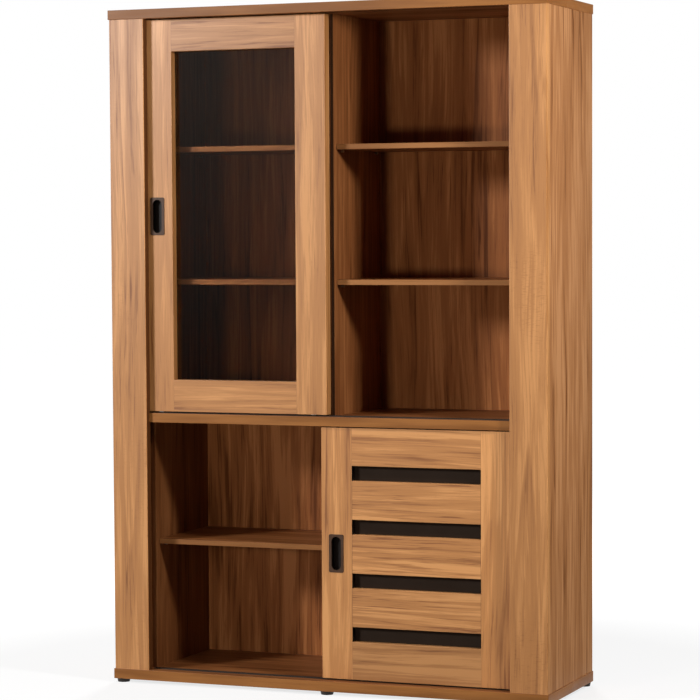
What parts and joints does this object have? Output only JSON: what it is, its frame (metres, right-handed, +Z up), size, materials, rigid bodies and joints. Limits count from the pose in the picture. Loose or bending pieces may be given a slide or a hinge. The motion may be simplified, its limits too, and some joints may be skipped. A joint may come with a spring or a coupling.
{
  "type": "bookcase with sliding doors",
  "caption": "Tall wooden bookcase with an upper glazed sliding door and a lower slatted sliding door, shelves behind and beside them.",
  "frame": {"origin": "on the floor, under the middle of the case's footprint", "axes": "+X to the right seen from the front, +Y to the back, +Z up"},
  "size_m": [1.222, 0.4, 1.8],
  "materials": {
    "oak_laminate": "satin wood-grain laminate, grain along each piece",
    "board_laminate": "satin wood-grain laminate with plain brown edge band",
    "shelf_laminate": "satin wood-grain laminate",
    "back_laminate": "printed wood-grain panel, satin",
    "smoked_glass": "dark smoked glass, polished",
    "black_plastic": "moulded black plastic, fine matt",
    "black_panel": "matt black faced panel",
    "nylon": "natural nylon, matt",
    "plated_steel": "zinc-plated steel",
    "beech": "raw turned beech",
    "pile": "short black pile"
  },
  "bodies": {
    "carcass": {"back_panel_screws": "plated_steel", "base_board": "board_laminate", "carcass_dowels": "beech", "feet": "black_plastic", "left_door_jamb": "oak_laminate", "left_front_pilaster": "oak_laminate", "left_inner_side_panel": "oak_laminate", "left_outer_side_panel": "oak_laminate", "lower_back_panel": "back_laminate", "lower_door_guide_channel": "black_plastic", "lower_door_track": "black_plastic", "lower_left_shelf": "shelf_laminate", "lower_partition": "oak_laminate", "lower_right_shelf": "shelf_laminate", "middle_board": "board_laminate", "partition_dust_seals": "pile", "right_door_jamb": "oak_laminate", "right_front_pilaster": "oak_laminate", "right_inner_side_panel": "oak_laminate", "right_outer_side_panel": "oak_laminate", "shelf_pins": "plated_steel", "top_board": "board_laminate", "upper_back_panel": "back_laminate", "upper_door_guide_channel": "black_plastic", "upper_door_track": "black_plastic", "upper_left_high_shelf": "shelf_laminate", "upper_left_low_shelf": "shelf_laminate", "upper_partition": "oak_laminate", "upper_right_high_shelf": "shelf_laminate", "upper_right_low_shelf": "shelf_laminate"},
    "upper_door": {"upper_door_bottom_rail": "oak_laminate", "upper_door_dowels": "beech", "upper_door_glass": "smoked_glass", "upper_door_glass_beads": "black_plastic", "upper_door_handle": "black_plastic", "upper_door_left_stile": "oak_laminate", "upper_door_right_stile": "oak_laminate", "upper_door_roller_axles": "plated_steel", "upper_door_roller_housings": "black_plastic", "upper_door_top_guides": "black_plastic", "upper_door_top_rail": "oak_laminate"},
    "lower_door": {"lower_door_backing_panel": "black_panel", "lower_door_bottom_rail": "oak_laminate", "lower_door_dowels": "beech", "lower_door_handle": "black_plastic", "lower_door_left_stile": "oak_laminate", "lower_door_right_stile": "oak_laminate", "lower_door_roller_axles": "plated_steel", "lower_door_roller_housings": "black_plastic", "lower_door_slat_1": "oak_laminate", "lower_door_slat_2": "oak_laminate", "lower_door_slat_3": "oak_laminate", "lower_door_top_guides": "black_plastic", "lower_door_top_rail": "oak_laminate"},
    "upper_left_wheel": {"upper_door_left_wheel": "nylon"},
    "upper_right_wheel": {"upper_door_right_wheel": "nylon"},
    "lower_left_wheel": {"lower_door_left_wheel": "nylon"},
    "lower_right_wheel": {"lower_door_right_wheel": "nylon"}
  },
  "joints": [
    {"name": "upper_door_slide", "type": "slide", "parent": "carcass", "child": "upper_door", "axis": [1, 0, 0], "range_m": [0, 0.52]},
    {"name": "lower_door_slide", "type": "slide", "parent": "carcass", "child": "lower_door", "axis": [-1, 0, 0], "range_m": [-0.0125, 0.5075]},
    {"name": "upper_left_wheel_spin", "type": "hinge", "parent": "upper_door", "child": "upper_left_wheel", "pos_m": [-0.4795, -0.161, 0.7413], "axis": [0, 1, 0], "range_deg": [-5, 2490]},
    {"name": "upper_right_wheel_spin", "type": "hinge", "parent": "upper_door", "child": "upper_right_wheel", "pos_m": [-0.0405, -0.161, 0.7413], "axis": [0, 1, 0], "range_deg": [-5, 2490]},
    {"name": "lower_left_wheel_spin", "type": "hinge", "parent": "lower_door", "child": "lower_left_wheel", "pos_m": [0.028, -0.161, 0.0503], "axis": [0, -1, 0], "range_deg": [-65, 2430]},
    {"name": "lower_right_wheel_spin", "type": "hinge", "parent": "lower_door", "child": "lower_right_wheel", "pos_m": [0.467, -0.161, 0.0503], "axis": [0, -1, 0], "range_deg": [-65, 2430]}
  ],
  "couplings": [
    {"joint": "upper_left_wheel_spin", "follows": "upper_door_slide", "rad_per_m": 83.333},
    {"joint": "upper_right_wheel_spin", "follows": "upper_door_slide", "rad_per_m": 83.333},
    {"joint": "lower_left_wheel_spin", "follows": "lower_door_slide", "rad_per_m": 83.333},
    {"joint": "lower_right_wheel_spin", "follows": "lower_door_slide", "rad_per_m": 83.333}
  ]
}
